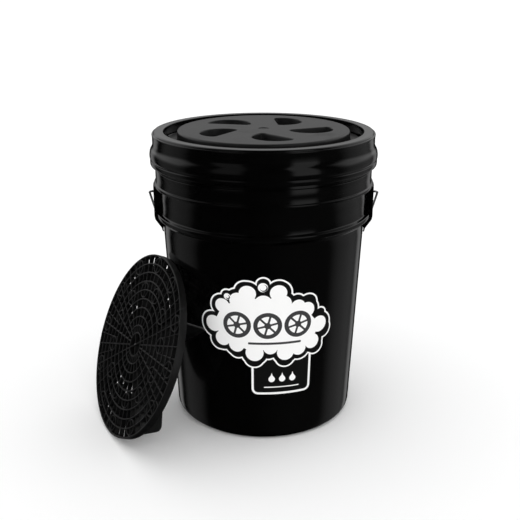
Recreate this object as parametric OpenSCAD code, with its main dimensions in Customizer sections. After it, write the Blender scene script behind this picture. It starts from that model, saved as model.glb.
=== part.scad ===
// Wash bucket: a tapered pail with a snap-on lid ring, a spin-in lid, a wire bail
// with a roller grip, a front label and a loose grit guard that leans on the wall.
// Millimetres, +Z up, origin at the middle of the pail's base on the floor, front at -Y.

/* [Pail] */
// Outer radius of the wall, carried down to the floor
wall_base_r = 132.4; // [130:0.1:134]
// Growth of the wall's radius for each millimetre of height
wall_taper = 0.0462; // [0.044:0.0002:0.048]
// Thickness of the wall
wall_t = 2; // [1.8:0.1:2.2]
// Radius of the rounded heel under the wall
heel_r = 10; // [8:0.5:12]
// Height of the recess under the floor
recess_h = 4; // [3:0.5:5]
// Thickness of the floor
floor_t = 3; // [2.5:0.5:4]
// Outer radius of the lower collar
lower_collar_r = 155; // [154:0.1:155.5]
// Outer radius of the upper collar
upper_collar_r = 156.9; // [156:0.1:157.5]
// Outer radius of the band above the upper collar
band_r = 154.6; // [154:0.1:155]

/* [Ears] */
// Height of the bail's pivot above the floor
pivot_z = 331.5; // [330:0.5:333]
// Half of the angle that each ear spans
ear_half_angle = 12; // [10:0.5:14]
// Outer radius of the ear
ear_r = 158.5; // [158:0.1:159]
// Thickness of the ear's walls
ear_t = 3; // [2.5:0.1:3.2]

/* [Lid] */
// Outer radius of the raised middle of the lid
plateau_r = 122; // [120:0.5:124]
// Height of the lid's top above the floor
lid_top_z = 423; // [422:0.1:424]
// Depth of the finger wells
well_depth = 16; // [12:0.5:18]
// Rise of the lid in one turn of its thread
thread_lead = 24; // [24:1:24]
// Number of thread starts
thread_starts = 4; // [4:1:4]

/* [Bail] */
// Diameter of the wire
wire_d = 3.2; // [3:0.1:3.2]
// Radius of the pivot holes in the ears
pivot_hole_r = 1.65; // [1.65:0.01:1.7]
// Distance from the middle plane to each leg
leg_x = 166; // [165.8:0.1:167]
// Distance from the pivot axis to the grip's axis
bail_reach = 194; // [193:0.5:198]
// Radius of the bail's corners
corner_r = 88; // [84:1:92]
// Angle that the bail hangs below level at the back
hang_angle = 37; // [36.5:0.1:37]
// Outer radius of the roller grip
grip_r = 12; // [10:0.5:12]
// Length of the roller grip
grip_len = 112; // [100:1:130]

/* [Grit guard] */
// Outer radius of the guard
guard_r = 132.8; // [130:0.1:133]
// Height of the guard on its fins
guard_h = 49; // [47:0.5:49]
// Height of the rim band
guard_band_h = 10; // [8:0.5:12]
// Height of the rings and spokes
guard_web_h = 7; // [5:0.5:8]
// Tilt of the leaning guard away from upright
lean_tilt = 22; // [20:0.5:24]
// Direction that the guard faces, from the front towards the left
lean_azimuth = 62.5; // [60:0.5:65]

/* [Label] */
// Thickness of the vinyl label
label_t = 0.3; // [0.2:0.05:0.4]
// Turn of the label about the pail from straight ahead
label_turn = 3; // [0:0.5:6]

/* [Hidden] */
$fn = 96;

black_plastic = "#17181a";
seal_rubber = "#2b2b2c";
bright_steel = "#c9ccd0";
vinyl_white = "#f2f2f0";

// The pail's own levels and radii, from the floor up
lower_collar_z = 303;
lower_collar_top = 308;
upper_collar_z = 346;
upper_collar_top = 350.4;
band_top_z = 371;
neck_r = 153.2;
neck_in_r = 151;
bead_r = 156.2;
bead_z = 391;
bead_top_z = 397;
rim_z = 402;
mid_low_r = 149.4;
mid_high_r = 150.6;
inner_floor_z = recess_h + floor_t;
inner_heel_r = heel_r - wall_t;

// A full turn of a section, with its seam at an angle where nothing else meets it
seam_angle = 85;
module turned() {
    rotate([0, 0, seam_angle])
        rotate_extrude($fn = 180)
            children();
}

function wall_r(z) = wall_base_r + wall_taper * z;
// Points of an arc about [cx, cz] from angle a to angle b, in n steps
function arc(cx, cz, r, a, b, n = 8) = [
    for (i = [0:n]) [cx + r * cos(a + (b - a) * i / n), cz + r * sin(a + (b - a) * i / n)]
];

// The underside: a flat centre foot at the moulding gate, a shallow recess, then the foot ring
centre_foot_r = 24;
pail_outer = concat(
    [
        [0, 0], [centre_foot_r, 0], [centre_foot_r + 1.5, recess_h],
        [113, recess_h], [114.5, 0]
    ],
    arc(wall_r(heel_r) - heel_r, heel_r, heel_r, -90, 0),
    [
        [wall_r(296), 296], [151, 299.6], [lower_collar_r - 0.8, lower_collar_z - 0.8],
        [lower_collar_r, lower_collar_z], [lower_collar_r, lower_collar_top - 1],
        [lower_collar_r - 1, lower_collar_top], [mid_low_r, lower_collar_top + 1],
        [mid_high_r, upper_collar_z - 1], [upper_collar_r - 1, upper_collar_z],
        [upper_collar_r, upper_collar_z + 1], [upper_collar_r, upper_collar_top - 1],
        [upper_collar_r - 1, upper_collar_top], [band_r, upper_collar_top + 0.6],
        [band_r, band_top_z - 1], [band_r - 1, band_top_z], [neck_r, band_top_z + 0.2],
        [neck_r, bead_z - 2], [bead_r, bead_z + 0.6], [bead_r, bead_top_z],
        [neck_r, rim_z - 0.8], [neck_r - 0.6, rim_z], [neck_in_r + 0.4, rim_z]
    ]
);
pail_inner = concat(
    [
        [neck_in_r, rim_z - 0.6], [neck_in_r, upper_collar_z + 1],
        [mid_high_r - wall_t - 0.2, upper_collar_z - 2],
        [mid_low_r - wall_t - 0.2, lower_collar_top], [wall_r(296) - wall_t, 298]
    ],
    arc(wall_r(inner_floor_z + inner_heel_r) - wall_t - inner_heel_r,
        inner_floor_z + inner_heel_r, inner_heel_r, 0, -90),
    [[0, inner_floor_z]]
);

// Ear levels: the outer face ends where the chamfer back to the wall begins
ear_top_z = upper_collar_z + 1;
ear_face_z = 299;
ear_foot_z = 280;
ear_root_r = 147.5;
ear_gap_z = 312;
ear_lintel_t = 4;

// One ear on the +X side: a bridge that is open at both ends, with the pivot hole in its outer wall
module ear() {
    difference() {
        rotate([0, 0, -ear_half_angle])
            rotate_extrude(angle = 2 * ear_half_angle, $fn = 180)
                difference() {
                    polygon([
                        [ear_root_r, ear_foot_z], [wall_r(ear_foot_z) + 0.4, ear_foot_z],
                        [ear_r, ear_face_z], [ear_r, ear_top_z], [ear_root_r, ear_top_z]
                    ]);
                    translate([ear_root_r - 1, ear_gap_z])
                        square([ear_r - ear_t - ear_root_r + 1, ear_top_z - ear_lintel_t - ear_gap_z]);
                }
        translate([ear_r - 8, 0, pivot_z])
            rotate([0, 90, 0])
                cylinder(r = pivot_hole_r, h = 12, $fn = 48);
    }
}

module pail() {
    color(black_plastic) {
        turned()
            polygon(concat(pail_outer, pail_inner));
        ear();
        mirror([1, 0, 0])
            ear();
    }
}

// The lid ring's levels and radii
ring_top_z = 422;
ring_in_r = 141.5;
ring_land_r = 139.1;
ring_wall_out_r = 145;
ring_floor_z = 385;
ring_land_z = 395.5;
gasket_top_z = 406;
gasket_low_z = rim_z;
skirt_in_r = 156.6;
hook_r = 154;

adapter_ring_section = [
    // outside, from the skirt's foot up to the bead and over the top
    [158.4, 376], [160.4, 376.4], [161.2, 378.4], [161.2, 382.4], [160.7, 383.6],
    [160.7, 384.6], [161.5, 386], [162, 389], [161.6, 393], [160.4, 397.6],
    [158.3, 400.6], [157.4, 403.4], [157.2, 411], [157.5, 417], [157.8, 418.4],
    [157.2, 419.4], [155.7, 419.2], [155.4, 420.6], [154.6, 421.6], [152.6, ring_top_z],
    [142.3, ring_top_z], [ring_in_r, ring_top_z - 0.8],
    // down the threaded wall to the sealing land and its floor flange
    [ring_in_r, ring_land_z + 1.4], [ring_land_r, ring_land_z], [ring_land_r, ring_floor_z + 3],
    [133, ring_floor_z + 3], [132.4, ring_floor_z + 2.4], [132.4, ring_floor_z],
    [143, ring_floor_z], [ring_wall_out_r, ring_floor_z + 2],
    // up the back of the threaded wall, over the gasket's seat, down inside the skirt
    [ring_wall_out_r, 398], [ring_wall_out_r, gasket_top_z + 8], [148.5, gasket_top_z + 10],
    [148.5, gasket_top_z], [155.6, gasket_top_z], [skirt_in_r, gasket_top_z - 2],
    [skirt_in_r, bead_z + 0.4], [hook_r, bead_z - 2.6], [hook_r, bead_z - 4.4],
    [158.6, bead_z - 7], [158.8, 380]
];

// Thread ribs: each is an arc of a turned strip, leaned so that it climbs at the thread's lead
rib_span = 80;
rib_h = 2.4;
rib_root_half = 1.3;
rib_tip_half = 0.7;
rib_root_sink = 0.6;
lid_rib_z = 398.5;

// A rib from root radius r0 to tip radius r1, climbing as the angle grows from its start at z0
module thread_rib(r0, r1, z0) {
    half_rise = thread_lead * rib_span / 720;
    lean = atan(half_rise / ((r0 + r1) / 2 * sin(rib_span / 2)));
    translate([0, 0, z0 + half_rise])
        rotate([0, 0, rib_span / 2])
            rotate([lean, 0, 0])
                rotate([0, 0, -rib_span / 2])
                    rotate_extrude(angle = rib_span, $fn = 180)
                        polygon([
                            [r0, -rib_root_half], [r1, -rib_tip_half],
                            [r1, rib_tip_half], [r0, rib_root_half]
                        ]);
}

module thread_ribs(r0, r1, z0) {
    for (i = [0:thread_starts - 1])
        rotate([0, 0, 360 * i / thread_starts])
            thread_rib(r0, r1, z0);
}

module adapter_ring() {
    color(black_plastic) {
        turned()
            polygon(adapter_ring_section);
        thread_ribs(ring_in_r + rib_root_sink, ring_in_r - rib_h,
            lid_rib_z + thread_lead / thread_starts / 2);
    }
}

module rim_gasket() {
    color(seal_rubber)
        turned()
            polygon([
                [149.2, gasket_low_z + 0.1], [154.6, gasket_low_z + 0.1],
                [154.6, gasket_top_z - 0.1], [149.2, gasket_top_z - 0.1]
            ]);
}

// The spin lid's levels and radii
annulus_z = 408;
skirt_out_r = 138.5;
skirt_low_z = 390.4;
seal_r = 1.7;
seal_groove_r = skirt_out_r - 3.2;
seal_z = 392.9;

lid_section = [
    [0, lid_top_z], [plateau_r - 3, lid_top_z], [plateau_r - 1, lid_top_z - 0.9],
    [plateau_r, lid_top_z - 3], [plateau_r + 0.6, annulus_z + 1], [plateau_r + 1.6, annulus_z],
    [skirt_out_r - 0.6, annulus_z], [skirt_out_r, annulus_z - 0.6],
    [skirt_out_r, seal_z + 1.8], [seal_groove_r, seal_z + 1.8],
    [seal_groove_r, seal_z - 1.8], [skirt_out_r, seal_z - 1.8], [skirt_out_r, skirt_low_z],
    [132.8, skirt_low_z], [132.8, annulus_z - 2.6],
    [plateau_r - 2.4, annulus_z - 2.6], [plateau_r - 2.6, lid_top_z - 2.6], [0, lid_top_z - 2.6]
];

// Finger wells: half-moon pockets in a pinwheel about the middle of the lid
well_count = 5;
well_first = 68;
well_ring_r = 66;
well_r = 34;
well_cut = 8;
well_skew = 28;
well_wall = 2.4;

// Outline of one well: a disc cut off along a straight edge
module well_outline(r, cut) {
    intersection() {
        circle(r = r, $fn = 64);
        translate([-2 * r, cut - 4 * r])
            square([4 * r, 4 * r]);
    }
}

module at_wells() {
    for (i = [0:well_count - 1])
        rotate([0, 0, well_first + 360 * i / well_count])
            translate([well_ring_r, 0, 0])
                rotate([0, 0, well_skew])
                    children();
}

module spin_lid() {
    color(black_plastic) {
        difference() {
            union() {
                turned()
                    polygon(lid_section);
                at_wells()
                    translate([0, 0, lid_top_z - well_depth - well_wall])
                        linear_extrude(height = well_depth + well_wall - 1)
                            well_outline(well_r + well_wall, well_cut + well_wall);
            }
            at_wells()
                translate([0, 0, lid_top_z - well_depth])
                    linear_extrude(height = well_depth + 1)
                        well_outline(well_r, well_cut);
        }
        thread_ribs(skirt_out_r - rib_root_sink, skirt_out_r + rib_h, lid_rib_z);
    }
}

module lid_seal_ring() {
    color(seal_rubber)
        turned()
            translate([seal_groove_r + seal_r + 0.08, seal_z])
                circle(r = seal_r, $fn = 32);
}

// The bail, drawn flat with its pivot along X and its legs along +Y, then swung to rest
wire_r = wire_d / 2;
bend_r = 5;
hook_x = 153;
hook_len = 8;
straight_s = bail_reach - corner_r;
grip_half = grip_len / 2;
grip_bore_r = wire_r + 0.08;

module at_bail_rest() {
    translate([0, 0, pivot_z])
        rotate([-hang_angle, 0, 0])
            children();
}

// Half of the wire on the +X side
module bail_half() {
    // hook inside the ear, and the stretch through the pivot hole
    translate([hook_x, 0, 0])
        rotate([-90, 0, 0])
            cylinder(r = wire_r, h = hook_len, $fn = 32);
    translate([hook_x, 0, 0])
        sphere(r = wire_r, $fn = 32);
    translate([hook_x, 0, 0])
        rotate([0, 90, 0])
            cylinder(r = wire_r, h = leg_x - bend_r - hook_x, $fn = 32);
    // bend from the pivot into the leg
    translate([leg_x - bend_r, bend_r, 0])
        rotate([0, 0, -90])
            rotate_extrude(angle = 90, $fn = 96)
                translate([bend_r, 0])
                    circle(r = wire_r, $fn = 32);
    translate([leg_x, bend_r, 0])
        rotate([-90, 0, 0])
            cylinder(r = wire_r, h = straight_s - bend_r, $fn = 32);
    // corner into the straight stretch under the grip
    translate([leg_x - corner_r, straight_s, 0])
        rotate_extrude(angle = 90, $fn = 96)
            translate([corner_r, 0])
                circle(r = wire_r, $fn = 32);
    translate([0, bail_reach, 0])
        rotate([0, 90, 0])
            cylinder(r = wire_r, h = leg_x - corner_r, $fn = 32);
}

module bail_wire() {
    color(bright_steel)
        at_bail_rest() {
            bail_half();
            mirror([1, 0, 0])
                bail_half();
        }
}

module bail_grip() {
    color(black_plastic)
        at_bail_rest()
            translate([0, bail_reach, 0])
                rotate([0, 90, 0])
                    rotate_extrude()
                        polygon([
                            [grip_bore_r, -grip_half], [grip_r - 1.4, -grip_half],
                            [grip_r, -grip_half + 1.4], [grip_r, grip_half - 1.4],
                            [grip_r - 1.4, grip_half], [grip_bore_r, grip_half]
                        ]);
}

// The grit guard, drawn flat: top face at Z 0, feet of the fins at -guard_h
guard_rim_t = 2.4;
guard_web_t = 1.8;
guard_ring_pitch = 13;
guard_ring_count = 8;
guard_hub_r = 18;
guard_spokes = 24;
guard_first = 36;
guard_boss_r = 11.6;
guard_boss_t = 1.6;
guard_spoke_sink = 0.6;
guard_boss_sink = 0.3;
guard_inner_boss_at = 80;
guard_outer_boss_at = 118.6;
guard_bosses = 12;
guard_fin_t = 2.6;
guard_fin_foot_r = 119;
guard_fin_top_r = 129;
guard_fin_round = 8;

module guard_tube(r, t, h) {
    translate([0, 0, -h])
        difference() {
            cylinder(r = r, h = h, $fn = 120);
            translate([0, 0, -1])
                cylinder(r = r - t, h = h + 2, $fn = 120);
        }
}

// One plate of the fins' cross, from one side of the guard through the middle to the other
module guard_fin_plate() {
    round_at = guard_fin_foot_r - guard_fin_round;
    rotate([90, 0, 0])
        translate([0, 0, -guard_fin_t / 2])
            linear_extrude(height = guard_fin_t)
                polygon(concat(
                    [[-guard_fin_top_r, -guard_web_h], [-guard_fin_top_r, -guard_band_h]],
                    arc(-round_at, guard_fin_round - guard_h, guard_fin_round, 180, 270, 6),
                    arc(round_at, guard_fin_round - guard_h, guard_fin_round, -90, 0, 6),
                    [[guard_fin_top_r, -guard_band_h], [guard_fin_top_r, -guard_web_h]]
                ));
}

module guard_flat() {
    guard_tube(guard_r, guard_rim_t, guard_band_h);
    guard_tube(guard_hub_r, guard_web_t, guard_web_h);
    for (i = [1:guard_ring_count])
        guard_tube(guard_r - i * guard_ring_pitch, guard_web_t, guard_web_h);
    // spokes from the hub to the rim, a little shallower than the rings
    for (i = [0:guard_spokes - 1])
        rotate([0, 0, guard_first + 360 * i / guard_spokes])
            translate([guard_hub_r - 1, -guard_web_t / 2, guard_spoke_sink - guard_web_h])
                cube([guard_r - guard_hub_r - 0.4, guard_web_t, guard_web_h - 2 * guard_spoke_sink]);
    // the cross through the hub, on the lines of the fins
    for (i = [0:1])
        rotate([0, 0, guard_first + 90 * i])
            translate([-guard_hub_r + 0.5, -guard_web_t / 2, guard_spoke_sink - guard_web_h])
                cube([2 * guard_hub_r - 1, guard_web_t, guard_web_h - 2 * guard_spoke_sink]);
    // round bosses on the spokes, in two rows
    translate([0, 0, -guard_boss_sink])
        for (i = [0:guard_bosses - 1]) {
            rotate([0, 0, guard_first + 15 + 30 * i])
                translate([guard_inner_boss_at, 0, 0])
                    guard_tube(guard_boss_r, guard_boss_t, guard_web_h - 2 * guard_boss_sink);
            rotate([0, 0, guard_first + 30 * i])
                translate([guard_outer_boss_at, 0, 0])
                    guard_tube(guard_boss_r, guard_boss_t, guard_web_h - 2 * guard_boss_sink);
        }
}

// The guard leans with its rim on the floor and the back of its top rim 0.6 mm off the wall
lean_gap = 0.6;
lean_side = 66;
guard_low = guard_r * cos(lean_tilt) + guard_band_h * sin(lean_tilt);
guard_back_z = 2 * guard_r * cos(lean_tilt);
lean_reach = guard_r * sin(lean_tilt) + guard_band_h * cos(lean_tilt);
lean_wall_r = wall_r(guard_back_z) + lean_gap;

module at_lean() {
    translate([
        -lean_wall_r * sin(lean_side) - lean_reach * sin(lean_azimuth),
        -lean_wall_r * cos(lean_side) - lean_reach * cos(lean_azimuth),
        guard_low
    ])
        rotate([0, 0, -lean_azimuth])
            rotate([90 - lean_tilt, 0, 0])
                children();
}

module grit_guard() {
    color(black_plastic)
        at_lean()
            guard_flat();
}

// The fins under the guard's webs, which hold it off the bottom of the pail
module guard_fins() {
    color(black_plastic)
        at_lean()
            for (i = [0:1])
                rotate([0, 0, guard_first + 90 * i])
                    guard_fin_plate();
}

// The label's outline: a foam cloud of round puffs with a tab under it. Each puff is given
// as [distance along the wall from the middle, height above the floor, radius].
cloud_puffs = [
    [-77, 176, 21], [-66, 205, 16], [-56, 222, 10], [-31, 230, 16.5], [-7.5, 241, 10.7],
    [12.5, 231, 17], [38, 213, 13], [54, 209, 15], [74, 190, 10], [79, 166, 15.5],
    [67, 143, 14.5], [46, 139, 13], [23, 131, 15], [0, 141, 13], [-20, 131, 15.5],
    [-43, 143, 14.5], [-69, 154, 16]
];
tab_left = -24;
tab_right = 62;
tab_low = 74;
tab_top = 150;
tab_round = 9;
label_gap = 0.05;
label_notch_round = 1.5;
label_low = tab_low - 2;
label_high = 254;
label_wall_r = wall_r((label_low + label_high) / 2);

// Where a point that lies this far along the curved wall is seen from straight ahead
function seen_x(u) = label_wall_r * sin(u / label_wall_r * 180 / PI);

module label_outline() {
    for (p = cloud_puffs)
        translate([seen_x(p[0]), p[1]])
            circle(r = p[2], $fn = 40);
    polygon([for (p = cloud_puffs) [seen_x(p[0]), p[1]]]);
    polygon(concat(
        [[seen_x(tab_left), tab_top]],
        arc(seen_x(tab_left) + tab_round, tab_low + tab_round, tab_round, 180, 270, 6),
        arc(seen_x(tab_right) - tab_round, tab_low + tab_round, tab_round, 270, 360, 6),
        [[seen_x(tab_right), tab_top]]
    ));
}

// The label lies on the tapered wall: a thin skin of the cone, cut to the outline
module front_label() {
    color(vinyl_white)
        intersection() {
            turned()
                polygon([
                    [wall_r(label_low) + label_gap, label_low],
                    [wall_r(label_low) + label_t, label_low],
                    [wall_r(label_high) + label_t, label_high],
                    [wall_r(label_high) + label_gap, label_high]
                ]);
            rotate([0, 0, label_turn])
                rotate([90, 0, 0])
                    linear_extrude(height = 200)
                        offset(r = -label_notch_round, $fn = 24)
                            offset(r = label_notch_round, $fn = 24)
                                label_outline();
        }
}

pail();
adapter_ring();
rim_gasket();
front_label();
lid_seal_ring();
spin_lid();
bail_wire();
bail_grip();
grit_guard();
guard_fins();
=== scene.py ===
"""Wash bucket with a press-on lid ring, a spin-in lid, a wire bail and a leaning grit guard."""

import logging
import math
from dataclasses import dataclass, field
from enum import Enum
from typing import Callable, Iterable, Sequence

import bmesh
import bpy
from mathutils import Matrix, Vector
from mathutils.geometry import delaunay_2d_cdt


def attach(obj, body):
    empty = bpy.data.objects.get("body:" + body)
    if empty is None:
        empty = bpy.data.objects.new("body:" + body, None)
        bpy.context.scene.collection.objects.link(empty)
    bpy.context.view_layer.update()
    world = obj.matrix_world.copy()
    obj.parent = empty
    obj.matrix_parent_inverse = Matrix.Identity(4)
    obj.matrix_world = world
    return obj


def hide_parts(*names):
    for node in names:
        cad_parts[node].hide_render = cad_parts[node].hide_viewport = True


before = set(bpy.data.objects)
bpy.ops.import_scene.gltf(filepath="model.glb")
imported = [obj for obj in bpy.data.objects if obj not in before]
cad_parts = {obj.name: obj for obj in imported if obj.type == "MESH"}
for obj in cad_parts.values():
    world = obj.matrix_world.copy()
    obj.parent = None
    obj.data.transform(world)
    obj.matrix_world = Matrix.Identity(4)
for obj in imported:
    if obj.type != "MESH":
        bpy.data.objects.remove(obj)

MM = 0.001
FULL_TURN = 2 * math.pi
Corner = tuple[float, float, float]
Colour = tuple[float, float, float, float]
log = logging.getLogger("wash_bucket")


# ---------------------------------------------------------------------------
# Mesh work
# ---------------------------------------------------------------------------


def new_piece(name: str, bm: bmesh.types.BMesh, crease_deg: float = 34.0) -> bpy.types.Object:
    """Turn a bmesh into a linked, smooth-shaded object at the origin.

    Args:
        name: The piece's name.
        bm: The finished bmesh, in metres. It is freed.
        crease_deg: Edges that fold by more than this stay sharp.

    Returns:
        The new object.
    """
    bmesh.ops.remove_doubles(bm, verts=bm.verts, dist=1e-6)
    bmesh.ops.recalc_face_normals(bm, faces=bm.faces)
    return link_piece(name, bm, crease_deg)


def link_piece(name: str, bm: bmesh.types.BMesh, crease_deg: float = 34.0) -> bpy.types.Object:
    """Link a bmesh as it is, with smooth faces and sharp folds."""
    limit = math.radians(crease_deg)
    for face in bm.faces:
        face.smooth = True
    for edge in bm.edges:
        edge.smooth = len(edge.link_faces) == 2 and edge.calc_face_angle(0.0) < limit
    mesh = bpy.data.meshes.new(name)
    bm.to_mesh(mesh)
    bm.free()
    obj = bpy.data.objects.new(name, mesh)
    bpy.context.scene.collection.objects.link(obj)
    return obj


@dataclass(frozen=True)
class Section:
    """A turned part's section: corners of radius, height and rounding, in millimetres."""

    corners: tuple[Corner, ...]
    closed: bool = True
    pitch: float = 9.0

    def draw(self) -> bmesh.types.BMesh:
        """Draw the section in the XZ plane, round its corners and divide its long sides.

        Returns:
            A new bmesh that holds only the section's wire.
        """
        bm = bmesh.new()
        verts = [bm.verts.new((r * MM, 0.0, z * MM)) for r, z, _ in self.corners]
        count = len(verts) if self.closed else len(verts) - 1
        for i in range(count):
            bm.edges.new((verts[i], verts[(i + 1) % len(verts)]))
        for vert, (_, _, rounding) in zip(verts, self.corners):
            if rounding > 0:
                bmesh.ops.bevel(
                    bm, geom=[vert], offset=rounding * MM, offset_type="OFFSET",
                    segments=3 if rounding < 2.5 else 6, profile=0.5,
                    affect="VERTICES", material=-1, clamp_overlap=True,
                )
        bmesh.ops.remove_doubles(bm, verts=bm.verts, dist=5e-6)
        for edge in list(bm.edges):
            cuts = int(edge.calc_length() / (self.pitch * MM))
            if cuts:
                bmesh.ops.subdivide_edges(bm, edges=[edge], cuts=cuts)
        return bm


def stamp(
    bm: bmesh.types.BMesh, part: bmesh.types.BMesh, places: Iterable[Matrix] = (Matrix.Identity(4),),
) -> None:
    """Copy a small bmesh into another at each place, and free it.

    Args:
        bm: The bmesh to add to.
        part: The bmesh to copy.
        places: A matrix for each copy.
    """
    mesh = bpy.data.meshes.new("stamp")
    part.to_mesh(mesh)
    part.free()
    for place_at in places:
        copy = mesh.copy()
        copy.transform(place_at)
        bm.from_mesh(copy)
        bpy.data.meshes.remove(copy)
    bpy.data.meshes.remove(mesh)


def new_verts(geom: Iterable[object]) -> list[bmesh.types.BMVert]:
    """The vertices among what an extrusion made."""
    return [item for item in geom if isinstance(item, bmesh.types.BMVert)]


def turned(
    section: Section, steps: int, start: float = 0.0, angle: float = FULL_TURN, rise: float = 0.0,
) -> bmesh.types.BMesh:
    """Spin a section about Z, a full turn or part of one.

    Args:
        section: The section to spin.
        steps: Number of steps over the angle.
        start: Angle at which the sweep starts, in radians.
        angle: Angle of the sweep, in radians.
        rise: Climb over the whole sweep, in metres.

    Returns:
        A new bmesh with the closed shape.
    """
    bm = section.draw()
    bmesh.ops.rotate(bm, verts=bm.verts, cent=(0, 0, 0), matrix=Matrix.Rotation(start, 3, "Z"))
    full = abs(angle - FULL_TURN) < 1e-9 and rise == 0
    bmesh.ops.spin(
        bm, geom=list(bm.verts) + list(bm.edges), axis=(0, 0, 1), cent=(0, 0, 0),
        dvec=(0, 0, rise / steps), angle=angle, steps=steps, use_merge=full,
    )
    if full:
        bmesh.ops.remove_doubles(bm, verts=[v for v in bm.verts if v.co.xy.length < 1e-5], dist=2e-5)
    else:
        bmesh.ops.holes_fill(bm, edges=[e for e in bm.edges if e.is_boundary], sides=0)
    bmesh.ops.recalc_face_normals(bm, faces=bm.faces)
    return bm


def soften(bm: bmesh.types.BMesh, edges: Iterable, width: float, segments: int = 2) -> None:
    """Round a set of edges by the given width in millimetres."""
    bmesh.ops.bevel(
        bm, geom=list(edges), offset=width * MM, offset_type="OFFSET", segments=segments,
        profile=0.5, affect="EDGES", material=-1, clamp_overlap=True,
    )


def place(bm: bmesh.types.BMesh, verts: Iterable, matrix: Matrix) -> None:
    """Move vertices by a matrix."""
    bmesh.ops.transform(bm, matrix=matrix, verts=list(verts))


# ---------------------------------------------------------------------------
# Shared shader effects
# ---------------------------------------------------------------------------


class Socket(Enum):
    """Kinds of socket on a node group."""

    VALUE = "NodeSocketFloat"
    COLOUR = "NodeSocketColor"


class Effect:
    """A shader node group that several finishes share."""

    def __init__(
        self, name: str, inputs: dict[str, tuple[Socket, object]], outputs: dict[str, Socket],
    ) -> None:
        """Make an empty group with its sockets.

        Args:
            name: The group's name.
            inputs: Name to kind and default of each input.
            outputs: Name to kind of each output.
        """
        self.tree = bpy.data.node_groups.new(name, "ShaderNodeTree")
        for label, (kind, default) in inputs.items():
            made = self.tree.interface.new_socket(label, in_out="INPUT", socket_type=kind.value)
            made.default_value = default
        for label, kind in outputs.items():
            self.tree.interface.new_socket(label, in_out="OUTPUT", socket_type=kind.value)
        self.source = self.node("NodeGroupInput")
        self.sink = self.node("NodeGroupOutput")

    def node(self, kind: str, **settings: object) -> bpy.types.Node:
        """Add a node and set its plain properties."""
        made = self.tree.nodes.new(kind)
        for key, value in settings.items():
            setattr(made, key, value)
        return made

    def link(self, a: bpy.types.NodeSocket, b: bpy.types.NodeSocket) -> None:
        """Join two sockets."""
        self.tree.links.new(a, b)

    def math(self, operation: str, a: object, b: object = None) -> bpy.types.NodeSocket:
        """Add a maths node on sockets or plain numbers.

        Args:
            operation: The node's operation.
            a: First operand.
            b: Second operand, or nothing.

        Returns:
            The result's socket.
        """
        made = self.node("ShaderNodeMath", operation=operation)
        for slot, value in zip(made.inputs, (a, b)):
            if isinstance(value, bpy.types.NodeSocket):
                self.link(value, slot)
            elif value is not None:
                slot.default_value = value
        return made.outputs[0]

    def ramp(
        self, value: object, low: float, high: float, to_low: float = 0.0, to_high: float = 1.0,
    ) -> bpy.types.NodeSocket:
        """Map a value smoothly from one range to another."""
        made = self.node("ShaderNodeMapRange", interpolation_type="SMOOTHSTEP")
        self.link(value, made.inputs["Value"])
        for key, number in (("From Min", low), ("From Max", high), ("To Min", to_low), ("To Max", to_high)):
            made.inputs[key].default_value = number
        return made.outputs["Result"]

    def noise(
        self, scale: object, stretch: tuple[float, float, float] = (1, 1, 1),
        detail: float = 3.0, rough: float = 0.55,
    ) -> bpy.types.NodeSocket:
        """Noise on object coordinates.

        Args:
            scale: Its scale, a number or a socket.
            stretch: How far the pattern is packed along each axis.
            detail: Octaves of detail.
            rough: Roughness of the octaves.

        Returns:
            The noise's value.
        """
        where = self.node("ShaderNodeTexCoord").outputs["Object"]
        if stretch != (1, 1, 1):
            mapping = self.node("ShaderNodeMapping")
            mapping.inputs["Scale"].default_value = stretch
            self.link(where, mapping.inputs["Vector"])
            where = mapping.outputs["Vector"]
        made = self.node("ShaderNodeTexNoise")
        made.inputs["Detail"].default_value = detail
        made.inputs["Roughness"].default_value = rough
        self.link(where, made.inputs["Vector"])
        if isinstance(scale, bpy.types.NodeSocket):
            self.link(scale, made.inputs["Scale"])
        else:
            made.inputs["Scale"].default_value = scale
        return made.outputs[0]


def moulded_grain() -> Effect:
    """Fine spark-eroded grain with the slow waviness of a moulded wall, as a height."""
    fx = Effect(
        "moulded_grain",
        {"Scale": (Socket.VALUE, 1800.0), "Wave": (Socket.VALUE, 0.3)},
        {"Height": Socket.VALUE, "Mask": Socket.VALUE},
    )
    fine = fx.noise(fx.source.outputs["Scale"], detail=2.0, rough=0.6)
    slow = fx.noise(9.0, stretch=(1, 1, 0.45), detail=1.0, rough=0.4)
    waved = fx.math("MULTIPLY", slow, fx.source.outputs["Wave"])
    fx.link(fx.math("ADD", fine, waved), fx.sink.inputs["Height"])
    fx.link(fine, fx.sink.inputs["Mask"])
    return fx


def handling_wear() -> Effect:
    """Fine rubbed streaks and small scuffs from handling, as a mask."""
    fx = Effect(
        "handling_wear",
        {"Amount": (Socket.VALUE, 0.5), "Scale": (Socket.VALUE, 60.0)},
        {"Scuff": Socket.VALUE, "Drift": Socket.VALUE},
    )
    scale = fx.source.outputs["Scale"]
    long_streaks = fx.ramp(fx.noise(scale, stretch=(0.35, 0.35, 7.0), detail=4.0), 0.58, 0.70)
    cross_streaks = fx.ramp(fx.noise(scale, stretch=(3.2, 3.2, 0.5), detail=4.0), 0.62, 0.74)
    patches = fx.ramp(fx.noise(14.0, detail=3.0), 0.42, 0.66)
    both = fx.math("MAXIMUM", long_streaks, cross_streaks)
    scuff = fx.math("MULTIPLY", fx.math("MULTIPLY", both, patches), fx.source.outputs["Amount"])
    fx.link(scuff, fx.sink.inputs["Scuff"])
    fx.link(fx.noise(5.0, detail=2.0), fx.sink.inputs["Drift"])
    return fx


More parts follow.
